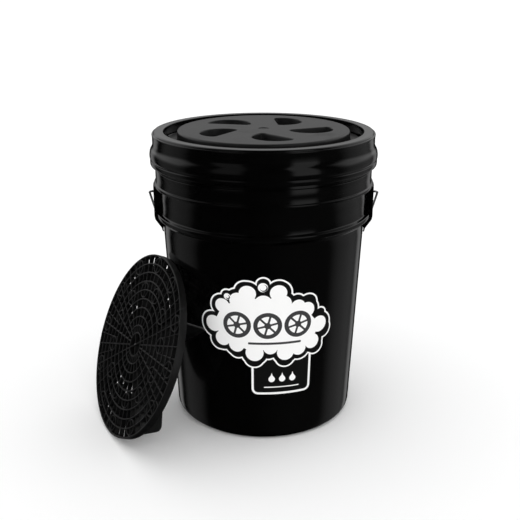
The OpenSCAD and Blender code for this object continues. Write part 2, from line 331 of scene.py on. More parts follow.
def settled_dust() -> Effect:
    """Pale dust that settles on faces that look up, as a mask."""
    fx = Effect("settled_dust", {"Amount": (Socket.VALUE, 0.2)}, {"Dust": Socket.VALUE})
    normal = fx.node("ShaderNodeNewGeometry").outputs["Normal"]
    split = fx.node("ShaderNodeSeparateXYZ")
    fx.link(normal, split.inputs[0])
    up = fx.ramp(split.outputs["Z"], 0.35, 0.95)
    speck = fx.ramp(fx.noise(420.0, detail=5.0, rough=0.7), 0.40, 0.72)
    cloud = fx.ramp(fx.noise(24.0, detail=3.0), 0.30, 0.80)
    clouded = fx.math("MULTIPLY", cloud, fx.source.outputs["Amount"])
    dust = fx.math("MULTIPLY", fx.math("MULTIPLY", up, speck), clouded)
    fx.link(dust, fx.sink.inputs["Dust"])
    return fx


class Workshop:
    """Holds the shared effects, each built once."""

    def __init__(self) -> None:
        """Build the effects."""
        self.grain = moulded_grain()
        self.wear = handling_wear()
        self.dust = settled_dust()


# ---------------------------------------------------------------------------
# Finishes
# ---------------------------------------------------------------------------


class Sheet:
    """A material being wired: a Principled shader with helpers for its inputs."""

    def __init__(self, name: str) -> None:
        """Start a material with a bare Principled shader."""
        self.material = bpy.data.materials.new(name)
        self.material.use_nodes = True
        self.tree = self.material.node_tree
        self.shader = self.tree.nodes["Principled BSDF"]

    def effect(self, effect: Effect, **values: float) -> bpy.types.Node:
        """Place a shared effect with its own values."""
        made = self.tree.nodes.new("ShaderNodeGroup")
        made.node_tree = effect.tree
        for key, value in values.items():
            made.inputs[key].default_value = value
        return made

    def mix_colour(self, mask: bpy.types.NodeSocket, a: object, b: object) -> bpy.types.NodeSocket:
        """Blend two colours, or colour sockets, by a mask."""
        made = self.tree.nodes.new("ShaderNodeMix")
        made.data_type = "RGBA"
        self.tree.links.new(mask, made.inputs["Factor"])
        for slot, value in ((made.inputs[6], a), (made.inputs[7], b)):
            if isinstance(value, bpy.types.NodeSocket):
                self.tree.links.new(value, slot)
            else:
                slot.default_value = value
        return made.outputs[2]

    def mix_value(self, mask: bpy.types.NodeSocket, a: float, b: float) -> bpy.types.NodeSocket:
        """Blend two numbers by a mask."""
        made = self.tree.nodes.new("ShaderNodeMapRange")
        self.tree.links.new(mask, made.inputs["Value"])
        made.inputs["To Min"].default_value = a
        made.inputs["To Max"].default_value = b
        return made.outputs["Result"]

    def bump(self, height: bpy.types.NodeSocket, strength: float, distance: float) -> None:
        """Feed a height to the shader's normal."""
        made = self.tree.nodes.new("ShaderNodeBump")
        made.inputs["Strength"].default_value = strength
        made.inputs["Distance"].default_value = distance
        self.tree.links.new(height, made.inputs["Height"])
        self.tree.links.new(made.outputs["Normal"], self.shader.inputs["Normal"])

    def feed(self, socket: bpy.types.NodeSocket, name: str) -> None:
        """Link a socket to one of the shader's inputs."""
        self.tree.links.new(socket, self.shader.inputs[name])

    def fix(self, **values: object) -> None:
        """Set plain values on the shader's own sockets, with _ for a space."""
        for key, value in values.items():
            self.shader.inputs[key.replace("_", " ")].default_value = value


@dataclass(frozen=True)
class Moulded:
    """A moulded plastic: its colours, gloss, grain and how much it is worn."""

    name: str
    deep: Colour
    lifted: Colour
    gloss: float
    dull: float
    specular: float = 0.5
    grain_scale: float = 1800.0
    grain_depth: float = 0.00002
    grain_strength: float = 0.15
    wave: float = 0.3
    wear: float = 0.35
    dust: float = 0.1
    worn: Colour = (0.03, 0.03, 0.031, 1)

    def build(self, shop: Workshop) -> bpy.types.Material:
        """Wire the material.

        Args:
            shop: The shared effects.

        Returns:
            The material.
        """
        sheet = Sheet(self.name)
        grain = sheet.effect(shop.grain, Scale=self.grain_scale, Wave=self.wave)
        wear = sheet.effect(shop.wear, Amount=self.wear)
        dust = sheet.effect(shop.dust, Amount=self.dust)
        base = sheet.mix_colour(wear.outputs["Drift"], self.deep, self.lifted)
        scuffed = sheet.mix_colour(wear.outputs["Scuff"], base, self.worn)
        sheet.feed(sheet.mix_colour(dust.outputs["Dust"], scuffed, (0.32, 0.31, 0.29, 1)), "Base Color")
        sheet.feed(sheet.mix_value(wear.outputs["Scuff"], self.gloss, self.dull), "Roughness")
        sheet.fix(Specular_IOR_Level=self.specular, IOR=1.5)
        sheet.bump(grain.outputs["Height"], self.grain_strength, self.grain_depth)
        return sheet.material


@dataclass(frozen=True)
class DrawnWire:
    """Bright drawn steel wire with lengthwise die marks."""

    name: str = "bright_drawn_wire"
    bright: Colour = (0.66, 0.67, 0.69, 1)
    dark: Colour = (0.42, 0.43, 0.45, 1)

    def build(self, shop: Workshop) -> bpy.types.Material:
        """Wire the material."""
        sheet = Sheet(self.name)
        wear = sheet.effect(shop.wear, Amount=1.0, Scale=240.0)
        grain = sheet.effect(shop.grain, Scale=2600.0, Wave=0.1)
        sheet.feed(sheet.mix_colour(wear.outputs["Scuff"], self.bright, self.dark), "Base Color")
        sheet.feed(sheet.mix_value(grain.outputs["Mask"], 0.16, 0.34), "Roughness")
        sheet.fix(Metallic=1.0)
        sheet.bump(grain.outputs["Height"], 0.1, 0.00002)
        return sheet.material


@dataclass(frozen=True)
class PrintedVinyl:
    """Gloss vinyl with one printed ink: the ink's colour and how it mottles."""

    name: str
    ink: Colour
    thin_ink: Colour
    gloss: float = 0.28

    def build(self, shop: Workshop) -> bpy.types.Material:
        """Wire the material."""
        sheet = Sheet(self.name)
        grain = sheet.effect(shop.grain, Scale=900.0, Wave=0.6)
        wear = sheet.effect(shop.wear, Amount=0.35, Scale=90.0)
        sheet.feed(sheet.mix_colour(grain.outputs["Mask"], self.ink, self.thin_ink), "Base Color")
        sheet.feed(sheet.mix_value(wear.outputs["Scuff"], self.gloss, 0.5), "Roughness")
        sheet.fix(Specular_IOR_Level=0.3)
        sheet.bump(grain.outputs["Height"], 0.06, 0.00003)
        return sheet.material


class Palette:
    """Every finish on the bucket, built once."""

    def __init__(self, shop: Workshop) -> None:
        """Build the materials.

        Args:
            shop: The shared effects.
        """
        self.pail = Moulded(
            "glossy_black_pail", (0.0006, 0.0006, 0.0006, 1), (0.0012, 0.0012, 0.0012, 1),
            gloss=0.13, dull=0.30, specular=0.42, grain_depth=0.00001, grain_strength=0.05, wave=1.6,
            wear=0.30, dust=0.006, worn=(0.003, 0.003, 0.003, 1),
        ).build(shop)
        self.ring = Moulded(
            "satin_black_ring", (0.0006, 0.0006, 0.0006, 1), (0.0012, 0.0012, 0.0012, 1),
            gloss=0.13, dull=0.26, specular=0.42, grain_depth=0.00001, grain_strength=0.06, wave=0.8,
            wear=0.3, dust=0.008, worn=(0.004, 0.004, 0.004, 1),
        ).build(shop)
        self.lid = Moulded(
            "textured_black_lid", (0.006, 0.006, 0.0062, 1), (0.010, 0.010, 0.0102, 1),
            gloss=0.40, dull=0.55, grain_scale=1500.0, grain_depth=0.00003, grain_strength=0.22,
            wave=0.4, wear=0.5, dust=0.05, worn=(0.02, 0.02, 0.02, 1),
        ).build(shop)
        self.guard = Moulded(
            "satin_black_guard", (0.0035, 0.0035, 0.0036, 1), (0.0065, 0.0065, 0.0067, 1),
            gloss=0.34, dull=0.5, grain_depth=0.00002, grain_strength=0.15, wave=0.5,
            wear=0.5, dust=0.05, worn=(0.03, 0.03, 0.03, 1),
        ).build(shop)
        self.grip = Moulded(
            "ribbed_black_grip", (0.006, 0.006, 0.006, 1), (0.012, 0.012, 0.012, 1),
            gloss=0.42, dull=0.6, grain_strength=0.2, wear=0.8, dust=0.08,
        ).build(shop)
        self.rubber = Moulded(
            "matt_seal_rubber", (0.010, 0.010, 0.010, 1), (0.018, 0.018, 0.018, 1),
            gloss=0.72, dull=0.85, specular=0.3, grain_scale=700.0, grain_strength=0.3,
            wear=0.5, dust=0.15,
        ).build(shop)
        self.wire = DrawnWire().build(shop)
        self.white_print = PrintedVinyl(
            "label_white", (0.93, 0.93, 0.925, 1), (0.88, 0.88, 0.875, 1),
        ).build(shop)
        self.black_print = PrintedVinyl(
            "label_black", (0.004, 0.004, 0.004, 1), (0.007, 0.007, 0.007, 1),
        ).build(shop)
        self.grey_print = PrintedVinyl(
            "label_grey", (0.038, 0.038, 0.040, 1), (0.052, 0.052, 0.054, 1),
        ).build(shop)


# ---------------------------------------------------------------------------
# Sub-assemblies
# ---------------------------------------------------------------------------


@dataclass
class Pail:
    """The tapered pail with its collars, ears, foot ring and bead, in millimetres."""

    finish: bpy.types.Material
    base_r: float = 132.4
    taper: float = 0.0462
    wall: float = 2.0
    pivot_z: float = 331.5
    ear_r: float = 158.5
    ear_wall: float = 3.0
    ear_half_deg: float = 12.0
    cheek_deg: float = 0.7
    steps: int = 240

    def wall_r(self, z: float) -> float:
        """Outer radius of the wall at a height."""
        return self.base_r + self.taper * z

    def section(self) -> Section:
        """The whole pail's section, from the middle of the foot to the middle of the floor."""
        w = self.wall_r
        outer = [
            (0.0, 0.0, 0.0), (24.0, 0.0, 0.5), (25.5, 4.0, 0.5), (113.0, 4.0, 1.0),
            (114.5, 0.0, 0.8), (w(0), 0.0, 10.0),
            (w(296), 296.0, 2.2), (151.0, 299.6, 1.6), (155.0, 302.4, 1.3), (155.0, 308.0, 1.2),
            (149.4, 309.0, 1.6), (150.6, 345.2, 1.2), (156.9, 346.2, 1.0), (156.9, 350.4, 1.0),
            (154.6, 350.9, 0.6), (154.6, 371.0, 1.2), (153.2, 371.2, 0.5), (153.2, 389.0, 0.6),
            (156.2, 391.6, 0.6), (156.2, 397.0, 1.2), (153.2, 402.0, 0.8), (151.0, 402.0, 0.5),
        ]
        inner = [
            (151.0, 347.0, 0.8), (148.4, 344.0, 0.8), (147.2, 308.0, 0.8), (w(296) - 2, 298.0, 0.8),
            (w(7) - 2, 7.0, 8.0), (0.0, 7.0, 0.0),
        ]
        return Section(tuple(outer + inner), closed=False, pitch=12.0)

    def shell(self) -> bpy.types.Object:
        """Turn the pail's shell."""
        return new_piece("pail_shell", turned(self.section(), self.steps))

    def ears(self) -> bpy.types.Object:
        """Make the two ears: bridges off the wall, closed by a thin cheek at each end."""
        bm = bmesh.new()
        inside = self.ear_r - self.ear_wall
        arch = Section((
            (147.6, 280.0, 0.0), (self.wall_r(280) + 0.4, 280.0, 0.5), (self.ear_r, 299.0, 3.0),
            (self.ear_r, 347.0, 1.6), (148.2, 347.0, 0.0), (148.2, 343.0, 0.0),
            (inside, 343.0, 1.0), (inside, 312.0, 1.0), (148.2, 312.0, 0.0),
        ), pitch=6.0)
        half = math.radians(self.ear_half_deg)
        cheek = Section((
            (148.2, 311.0, 0.0), (inside + 0.5, 311.0, 0.0), (inside + 0.5, 344.0, 0.0), (148.2, 344.0, 0.0),
        ), pitch=20.0)
        sweep = math.radians(self.cheek_deg)
        for side in (0.0, math.pi):
            ear = turned(arch, 24, start=side - half, angle=2 * half)
            soften(ear, [e for e in ear.edges if e.calc_face_angle(0.0) > 1.3], 0.8, 2)
            stamp(bm, ear)
            for start in (side - half + 0.006, side + half - 0.006 - sweep):
                stamp(bm, turned(cheek, 2, start=start, angle=sweep))
        return new_piece("pail_ears", bm)

    def pivot_bosses(self) -> bpy.types.Object:
        """Make the low round boss around each pivot hole."""
        bm = bmesh.new()
        ring = Section((
            (1.75, -1.2, 0.0), (6.2, -1.2, 0.0), (5.8, 0.9, 0.5), (2.3, 0.9, 0.3), (1.75, 0.4, 0.0),
        ))
        stamp(bm, turned(ring, 40), [
            Matrix.Translation((side * self.ear_r * MM, 0, self.pivot_z * MM))
            @ Matrix.Rotation(side * math.pi / 2, 4, "Y")
            for side in (1, -1)
        ])
        return new_piece("pivot_bosses", bm)

    def build(self) -> None:
        """Make and dress the pail."""
        shell = self.shell()
        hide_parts("pail")
        for piece in (shell, self.ears(), self.pivot_bosses()):
            piece.data.materials.append(self.finish)
            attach(piece, "pail")
            log.info("%s: %d faces", piece.name, len(piece.data.polygons))


@dataclass
class ThreadRibs:
    """Short thread ribs that climb about an axis."""

    root_r: float
    tip_r: float
    low_z: float
    lead: float = 24.0
    starts: int = 4
    span_deg: float = 80.0

    def add(self, bm: bmesh.types.BMesh) -> None:
        """Spin each rib's section with a climb."""
        rib = Section((
            (self.root_r, self.low_z - 1.3, 0.0), (self.tip_r, self.low_z - 0.7, 0.3),
            (self.tip_r, self.low_z + 0.7, 0.3), (self.root_r, self.low_z + 1.3, 0.0),
        ))
        one = turned(rib, 40, angle=math.radians(self.span_deg), rise=self.lead * self.span_deg / 360 * MM)
        stamp(bm, one, [Matrix.Rotation(FULL_TURN * k / self.starts, 4, "Z") for k in range(self.starts)])


@dataclass
class LidRing:
    """The snap-on ring: skirt, rolled top, threaded wall and its gasket."""

    finish: bpy.types.Material
    seal: bpy.types.Material
    steps: int = 256

    def section(self) -> Section:
        """The ring's section, up the outside and down the threaded wall."""
        return Section((
            (158.4, 376.0, 0.3), (160.4, 376.3, 0.7), (161.2, 378.4, 0.9), (161.2, 382.6, 0.6),
            (160.6, 383.5, 0.3), (160.6, 384.7, 0.3), (161.6, 386.2, 0.9), (162.0, 389.5, 2.4),
            (161.0, 396.6, 2.4), (158.2, 400.9, 1.6), (157.3, 404.2, 2.0), (157.2, 414.0, 2.0),
            (157.8, 418.4, 0.5), (157.2, 419.4, 0.3), (155.7, 419.3, 0.3), (155.3, 420.9, 0.8),
            (153.6, 422.0, 1.2), (141.9, 422.0, 0.5), (141.5, 421.4, 0.4), (141.5, 396.9, 0.4),
            (139.1, 395.5, 0.3), (139.1, 388.0, 0.5), (133.0, 388.0, 0.3), (132.4, 385.0, 0.5),
            (143.6, 385.0, 1.0), (145.0, 387.0, 0.6), (145.0, 414.0, 1.2), (148.5, 416.0, 1.0),
            (148.5, 406.0, 0.4), (155.6, 406.0, 0.4), (156.6, 404.0, 0.4), (156.6, 391.4, 0.4),
            (154.0, 388.4, 0.5), (154.0, 386.6, 0.4), (158.6, 384.0, 0.6), (158.8, 380.0, 0.4),
        ), pitch=6.0)

    def build(self) -> None:
        """Make and dress the ring and its gasket."""
        bm = turned(self.section(), self.steps)
        ThreadRibs(142.1, 139.1, 401.5).add(bm)
        ring = new_piece("lid_ring", bm)
        ring.data.materials.append(self.finish)
        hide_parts("adapter_ring")
        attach(ring, "pail")
        gasket = new_piece("rim_seal", turned(Section((
            (149.2, 402.1, 0.8), (154.6, 402.1, 0.8), (154.6, 405.9, 0.8), (149.2, 405.9, 0.8),
        )), 160))
        gasket.data.materials.append(self.seal)
        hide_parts("rim_gasket")
        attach(gasket, "pail")
        log.info("lid ring and gasket: %d faces", len(ring.data.polygons))


@dataclass
class SpinLid:
    """The lid that spins into the ring, with its finger wells and thread."""

    finish: bpy.types.Material
    seal: bpy.types.Material
    top_z: float = 423.0
    annulus_z: float = 408.0
    plateau_r: float = 122.0
    skirt_r: float = 138.5
    wells: int = 5
    first_deg: float = 68.0
    ring_r: float = 66.0
    well_r: float = 34.0
    well_cut: float = 8.0
    skew_deg: float = 28.0
    depth: float = 16.0
    corner_r: float = 7.0
    shell_t: float = 2.4
    steps: int = 224

    def half_moon(self, grow: float) -> bmesh.types.BMesh:
        """Draw one well's half-moon outline as a flat face about its own middle.

        Args:
            grow: How far the outline stands outside the well, in millimetres.

        Returns:
            A new bmesh with the one face, looking up.
        """
        bm = bmesh.new()
        bmesh.ops.create_circle(bm, cap_ends=True, radius=(self.well_r + grow) * MM, segments=64)
        cut = (self.well_cut + grow) * MM
        bmesh.ops.bisect_plane(
            bm, geom=list(bm.faces) + list(bm.edges) + list(bm.verts),
            plane_co=(0, cut, 0), plane_no=(0, 1, 0), clear_outer=True,
        )
        corners = [v for v in bm.verts if abs(v.co.y - cut) < 1e-7]
        reach = (self.corner_r + 1) * MM
        near = [
            v for v in bm.verts
            if v not in corners and min((v.co - c.co).length for c in corners) < reach
        ]
        bmesh.ops.dissolve_verts(bm, verts=near)
        corners = [v for v in bm.verts if abs(v.co.y - cut) < 1e-7]
        bmesh.ops.bevel(
            bm, geom=corners, offset=self.corner_r * MM, offset_type="OFFSET", segments=7,
            profile=0.5, affect="VERTICES", material=-1, clamp_overlap=True,
        )
        bmesh.ops.remove_doubles(bm, verts=bm.verts, dist=2e-5)
        for edge in [e for e in bm.edges if e.calc_length() > 0.008]:
            bmesh.ops.subdivide_edges(bm, edges=[edge], cuts=int(edge.calc_length() / 0.004))
        bmesh.ops.recalc_face_normals(bm, faces=bm.faces)
        if bm.faces[:][0].normal.z < 0:
            bmesh.ops.reverse_faces(bm, faces=bm.faces)
        return bm

    def sink(self, bm: bmesh.types.BMesh, depth: float, lip: float, foot: float) -> None:
        """Sink a bmesh's one flat face into a pocket with a rounded lip and foot.

        Args:
            bm: The bmesh.
            depth: Total depth in millimetres.
            lip: Rounding at the mouth.
            foot: Rounding at the bottom.
        """
        quarter = [math.radians(22.5 * i) for i in range(5)]
        steps = [
            (math.sin(b) - math.sin(a), math.cos(a) - math.cos(b))
            for a, b in zip(quarter, quarter[1:])
        ]
        moves = [(0.25, 0.0)]
        moves += [(lip * along, lip * down) for along, down in steps]
        moves.append((0.7, max(depth - lip - foot, 0.05)))
        moves += [(foot * down, foot * along) for along, down in steps]
        moves.append((0.4, 0.0))
        face = bm.faces[:][0]
        for inset, drop in moves:
            bmesh.ops.inset_individual(
                bm, faces=[face], thickness=max(inset, 0.02) * MM, depth=-drop * MM, use_even_offset=True,
            )

    def level(
        self, z: float, rim_r: float, grow: float, depth: float, lip: float, foot: float,
    ) -> bmesh.types.BMesh:
        """Make one flat level of the lid, filled between its rim and its pockets.

        Args:
            z: Height of the level, in millimetres.
            rim_r: Radius of its rim.
            grow: How far each pocket stands outside the well.
            depth: Depth of the pockets.
            lip: Rounding at their mouths.
            foot: Rounding at their bottoms.

        Returns:
            A new bmesh with the level.
        """
        well = self.half_moon(grow)
        self.sink(well, depth, lip, foot)
        bm = bmesh.new()
        stamp(bm, well, [
            Matrix.Rotation(math.radians(self.first_deg + 360 * k / self.wells), 4, "Z")
            @ Matrix.Translation((self.ring_r * MM, 0, 0))
            @ Matrix.Rotation(math.radians(self.skew_deg), 4, "Z")
            for k in range(self.wells)
        ])
        hub = bmesh.new()
        bmesh.ops.create_circle(hub, cap_ends=True, radius=(8.5 + grow / 2) * MM, segments=48)
        if hub.faces[:][0].normal.z < 0:
            bmesh.ops.reverse_faces(hub, faces=hub.faces)
        self.sink(hub, 0.9, 0.3, 0.3)
        stamp(bm, hub)
        bmesh.ops.create_circle(bm, cap_ends=False, radius=rim_r * MM, segments=self.steps)
        rims = [e for e in bm.edges if len(e.link_faces) < 2]
        bmesh.ops.triangle_fill(bm, use_beauty=True, use_dissolve=False, edges=rims, normal=(0, 0, 1))
        place(bm, bm.verts, Matrix.Translation((0, 0, z * MM)))
        return bm

    def body(self) -> bpy.types.Object:
        """Make the lid: turned edge, then top and underside filled around the wells."""
        t, a, p, s = self.top_z, self.annulus_z, self.plateau_r, self.skirt_r
        bm = turned(Section((
            (p - 6, t, 0.0), (p - 0.2, t, 3.0), (p + 0.5, a, 1.6), (s - 1.6, a, 0.0), (s, a, 0.8),
            (s, 394.7, 0.2), (s - 3.2, 394.7, 0.2), (s - 3.2, 391.1, 0.2), (s, 391.1, 0.2),
            (s, 390.4, 0.0), (132.8, 390.4, 0.4), (132.8, a - 2.6, 1.2), (p - 2.4, a - 2.6, 1.0),
            (p - 2.6, t - 2.6, 1.2), (p - 8, t - 2.6, 0.0),
        ), closed=False, pitch=5.0), self.steps)
        stamp(bm, self.level(t, p - 6, 0.0, self.depth, 1.8, 4.0))
        stamp(bm, self.level(t - 2.6, p - 8, self.shell_t, self.depth, 0.6, 3.0))
        ThreadRibs(137.9, 140.9, 398.5).add(bm)
        return new_piece("spin_lid_body", bm, 40.0)

    def build(self) -> None:
        """Make and dress the lid and its sealing ring."""
        lid = self.body()
        lid.data.materials.append(self.finish)
        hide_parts("spin_lid")
        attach(lid, "lid")
        circle = tuple(
            (137.08 + 1.7 * math.cos(FULL_TURN * i / 16), 392.9 + 1.7 * math.sin(FULL_TURN * i / 16), 0.0)
            for i in range(16)
        )
        ring = new_piece("lid_o_ring", turned(Section(circle), 160))
        ring.data.materials.append(self.seal)
        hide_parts("lid_seal_ring")
        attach(ring, "lid_seal")
        log.info("spin lid: %d faces", len(lid.data.polygons))


@dataclass
class Bail:
    """The wire bail and its roller grip, drawn flat and swung to where it hangs."""

    wire: bpy.types.Material
    plastic: bpy.types.Material
    pivot_z: float = 331.5
    hang_deg: float = 37.0
    wire_r: float = 1.6
    hook_x: float = 153.0
    leg_x: float = 166.0
    reach: float = 194.0
    bend_r: float = 5.0
    corner_r: float = 88.0
    grip_r: float = 11.95
    grip_half: float = 56.0

    def rest(self) -> Matrix:
        """The matrix from the flat drawing to where the bail hangs."""
        hang = Matrix.Rotation(-math.radians(self.hang_deg), 4, "X")
        return Matrix.Translation((0, 0, self.pivot_z * MM)) @ hang

    def rod(self) -> bpy.types.Object:
        """Sweep the wire: straight runs are extruded and bends are spun."""
        bm = bmesh.new()
        made = bmesh.ops.create_circle(
            bm, cap_ends=True, radius=self.wire_r * MM, segments=20,
            matrix=Matrix.Translation((self.hook_x * MM, 8 * MM, 0)) @ Matrix.Rotation(math.pi / 2, 4, "X"),
        )
        loop = list({e for v in made["verts"] for e in v.link_edges})

        def run(dx: float, dy: float) -> None:
            """Draw the wire on straight."""
            nonlocal loop
            out = bmesh.ops.extrude_edge_only(bm, edges=loop)["geom"]
            bmesh.ops.translate(bm, verts=new_verts(out), vec=(dx * MM, dy * MM, 0))
            loop = [g for g in out if isinstance(g, bmesh.types.BMEdge) and g.is_boundary]

        def bend(cx: float, cy: float, degrees: float, steps: int) -> None:
            """Draw the wire on around a bend."""
            nonlocal loop
            verts = list({v for e in loop for v in e.verts})
            out = bmesh.ops.spin(bm, geom=loop + verts, axis=(0, 0, 1), cent=(cx * MM, cy * MM, 0),
                                 angle=math.radians(degrees), steps=steps)["geom_last"]
            loop = [g for g in out if isinstance(g, bmesh.types.BMEdge)]

        h, x, b, c, s = self.hook_x, self.leg_x, self.bend_r, self.corner_r, self.reach
        run(0, -5.5)
        bend(h + 2.5, 2.5, 90, 6)
        run(x - b - h - 2.5, 0)
        bend(x - b, b, 90, 8)
        run(0, (s - c) - b)
        bend(x - c, s - c, 90, 28)
        run(-2 * (x - c), 0)
        bend(-(x - c), s - c, 90, 28)
        run(0, -((s - c) - b))
        bend(-(x - b), b, 90, 8)
        run(x - b - h - 2.5, 0)
        bend(-(h + 2.5), 2.5, 90, 6)
        run(0, 5.5)
        bmesh.ops.holes_fill(bm, edges=[e for e in bm.edges if e.is_boundary], sides=0)
        place(bm, bm.verts, self.rest())
        return new_piece("bail_rod", bm, 60.0)

    def grip(self) -> bpy.types.Object:
        """Turn the roller grip with its fine ribs."""
        bore, r, half = self.wire_r + 0.08, self.grip_r, self.grip_half
        corners: list[Corner] = [(bore, -half, 0.0), (r - 2.0, -half, 0.8), (r, -half + 2.5, 0.9)]
        ribs = 22
        for i in range(ribs):
            z = -half + 6 + i * (2 * half - 12) / ribs
            corners += [(r, z, 0.3), (r - 0.9, z + 0.8, 0.3), (r - 0.9, z + 1.9, 0.3), (r, z + 2.7, 0.3)]
        corners += [(r, half - 2.5, 0.9), (r - 2.0, half, 0.8), (bore, half, 0.0)]
        bm = turned(Section(tuple(corners), pitch=30.0), 48)
        across = Matrix.Rotation(math.pi / 2, 4, "Y")
        place(bm, bm.verts, self.rest() @ Matrix.Translation((0, self.reach * MM, 0)) @ across)
        return new_piece("roller_grip", bm)

    def build(self) -> None:
        """Make and dress the bail and grip."""
        rod = self.rod()
        rod.data.materials.append(self.wire)
        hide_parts("bail_wire")
        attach(rod, "bail")
        grip = self.grip()
        grip.data.materials.append(self.plastic)
        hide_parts("bail_grip")
        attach(grip, "grip")
        log.info("bail: %d faces, grip: %d faces", len(rod.data.polygons), len(grip.data.polygons))


@dataclass
class GritGuard:
    """The grit guard: a wheel of thin rings, spokes and bosses on a cross of fins."""

    finish: bpy.types.Material
    wall: Callable[[float], float]
    r: float = 132.8
    height: float = 49.0
    band_h: float = 10.0
    rim_t: float = 2.4
    web_h: float = 7.0
    web_t: float = 1.8
    pitch: float = 13.0
    rings: int = 8
    hub_r: float = 18.0
    spokes: int = 24
    first_deg: float = 36.0
    boss_r: float = 11.6
    boss_t: float = 1.6
    inner_boss_at: float = 80.0
    outer_boss_at: float = 118.6
    bosses: int = 12
    fin_t: float = 2.6
    tilt_deg: float = 22.0
    azimuth_deg: float = 62.5
    side_deg: float = 66.0
    gap: float = 0.6

    def lean(self) -> Matrix:
        """The matrix from the flat drawing to the leaning place beside the pail."""
        tilt, azimuth, side = (math.radians(d) for d in (self.tilt_deg, self.azimuth_deg, self.side_deg))
        low = self.r * math.cos(tilt) + self.band_h * math.sin(tilt)
        reach = self.r * math.sin(tilt) + self.band_h * math.cos(tilt)
        out = self.wall(2 * self.r * math.cos(tilt)) + self.gap
        x = -out * math.sin(side) - reach * math.sin(azimuth)
        y = -out * math.cos(side) - reach * math.cos(azimuth)
        return (Matrix.Translation((x * MM, y * MM, low * MM)) @ Matrix.Rotation(-azimuth, 4, "Z")
                @ Matrix.Rotation(math.pi / 2 - tilt, 4, "X"))

    def band(self, r: float, t: float, top: float, low: float, steps: int) -> bmesh.types.BMesh:
        """Make a thin upright ring with softened top edges.

        Args:
            r: Outer radius.
            t: Thickness.
            top: Height of its top.
            low: Height of its underside.
            steps: Steps around.

        Returns:
            A new bmesh with the ring.
        """
        return turned(Section((
            (r - t, low, 0.0), (r, low, 0.0), (r, top, 0.45), (r - t, top, 0.45),
        ), pitch=50.0), steps)

    def bar(self, start: float, end: float, t: float, top: float, low: float) -> bmesh.types.BMesh:
        """Make a thin straight web along X, with softened top edges."""
        bm = bmesh.new()
        bmesh.ops.create_cube(bm, size=1.0)
        middle = Matrix.Translation(((start + end) / 2 * MM, 0, (top + low) / 2 * MM))
        size = Matrix.Diagonal(((end - start) * MM, t * MM, (top - low) * MM, 1))
        place(bm, bm.verts, middle @ size)
        upper = [
            e for e in bm.edges
            if all(v.co.z > (top - 0.01) * MM for v in e.verts) and e.calc_length() > 1.01 * t * MM
        ]
        soften(bm, upper, 0.4, 1)
        return bm

    def around(self, count: int, first: float = 0.0, radius: float = 0.0) -> list[Matrix]:
        """Places about the guard's middle, evenly spaced from an angle in degrees."""
        return [
            Matrix.Rotation(math.radians(self.first_deg + first + 360 * i / count), 4, "Z")
            @ Matrix.Translation((radius * MM, 0, 0))
            for i in range(count)
        ]

    def grille(self) -> bpy.types.Object:
        """Make the wheel of rings, spokes, short webs and bosses."""
        bm = bmesh.new()
        web_low = -self.web_h
        stamp(bm, self.band(self.r, self.rim_t, 0.0, -self.band_h, 180))
        stamp(bm, self.band(self.hub_r, self.web_t, 0.0, web_low, 64))
        for i in range(1, self.rings + 1):
            stamp(bm, self.band(self.r - i * self.pitch, self.web_t, 0.0, web_low, 132 if i < 5 else 84))
        spoke = self.bar(self.hub_r - 1, self.r - 1.4, self.web_t, -0.25, web_low + 0.3)
        stamp(bm, spoke, self.around(self.spokes))
        short = self.bar(self.r - 4 * self.pitch - 0.9, self.r - 1.4, 1.4, -0.5, web_low + 0.5)
        stamp(bm, short, self.around(self.spokes, 7.5))
        cross = self.bar(-self.hub_r + 0.9, self.hub_r - 0.9, self.web_t, -0.25, web_low + 0.3)
        stamp(bm, cross, self.around(4)[:2])
        boss = (self.boss_r, self.boss_t, -0.1, web_low + 0.2, 36)
        stamp(bm, self.band(*boss), self.around(self.bosses, 15, self.inner_boss_at))
        stamp(bm, self.band(*boss), self.around(self.bosses, 0, self.outer_boss_at))
        place(bm, bm.verts, self.lean())
        return link_piece("guard_grille", bm, 40.0)

    def fins(self) -> bpy.types.Object:
        """Make the cross of fins under the wheel."""
        foot, top = 119.0, 129.0
        outline = (
            (-top, -self.web_h + 0.6), (-top, -self.band_h), (-foot, -self.height),
            (foot, -self.height), (top, -self.band_h), (top, -self.web_h + 0.6),
        )
        plate = bmesh.new()
        face = plate.faces.new([plate.verts.new((x * MM, -self.fin_t / 2 * MM, z * MM)) for x, z in outline])
        corners = [v for v in face.verts if abs(v.co.z + self.height * MM) < 1e-7]
        bmesh.ops.bevel(plate, geom=corners, offset=8 * MM, offset_type="OFFSET", segments=6, profile=0.5,
                        affect="VERTICES", material=-1, clamp_overlap=True)
        out = bmesh.ops.extrude_face_region(plate, geom=list(plate.faces), use_keep_orig=True)["geom"]
        bmesh.ops.translate(plate, verts=new_verts(out), vec=(0, self.fin_t * MM, 0))
        bmesh.ops.recalc_face_normals(plate, faces=plate.faces)
        soften(plate, [e for e in plate.edges if e.calc_face_angle(0.0) > 1.2], 0.5, 2)
        bm = bmesh.new()
        stamp(bm, plate, self.around(4)[:2])
        place(bm, bm.verts, self.lean())
        return link_piece("guard_vanes", bm, 40.0)

    def build(self) -> None:
        """Make and dress the guard."""
        for piece, node in ((self.grille(), "grit_guard"), (self.fins(), "guard_fins")):
            piece.data.materials.append(self.finish)
            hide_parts(node)
            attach(piece, "guard")
            log.info("%s: %d faces", piece.name, len(piece.data.polygons))


class Ink(Enum):
    """Inks of the label, by material slot."""

    WHITE = 0
    BLACK = 1
    GREY = 2


Outline = list[Vector]


def polar(x: float, z: float, r: float, angle: float) -> Vector:
    """The point at a radius and angle, in radians, about a middle."""
    return Vector((x + r * math.cos(angle), z + r * math.sin(angle)))


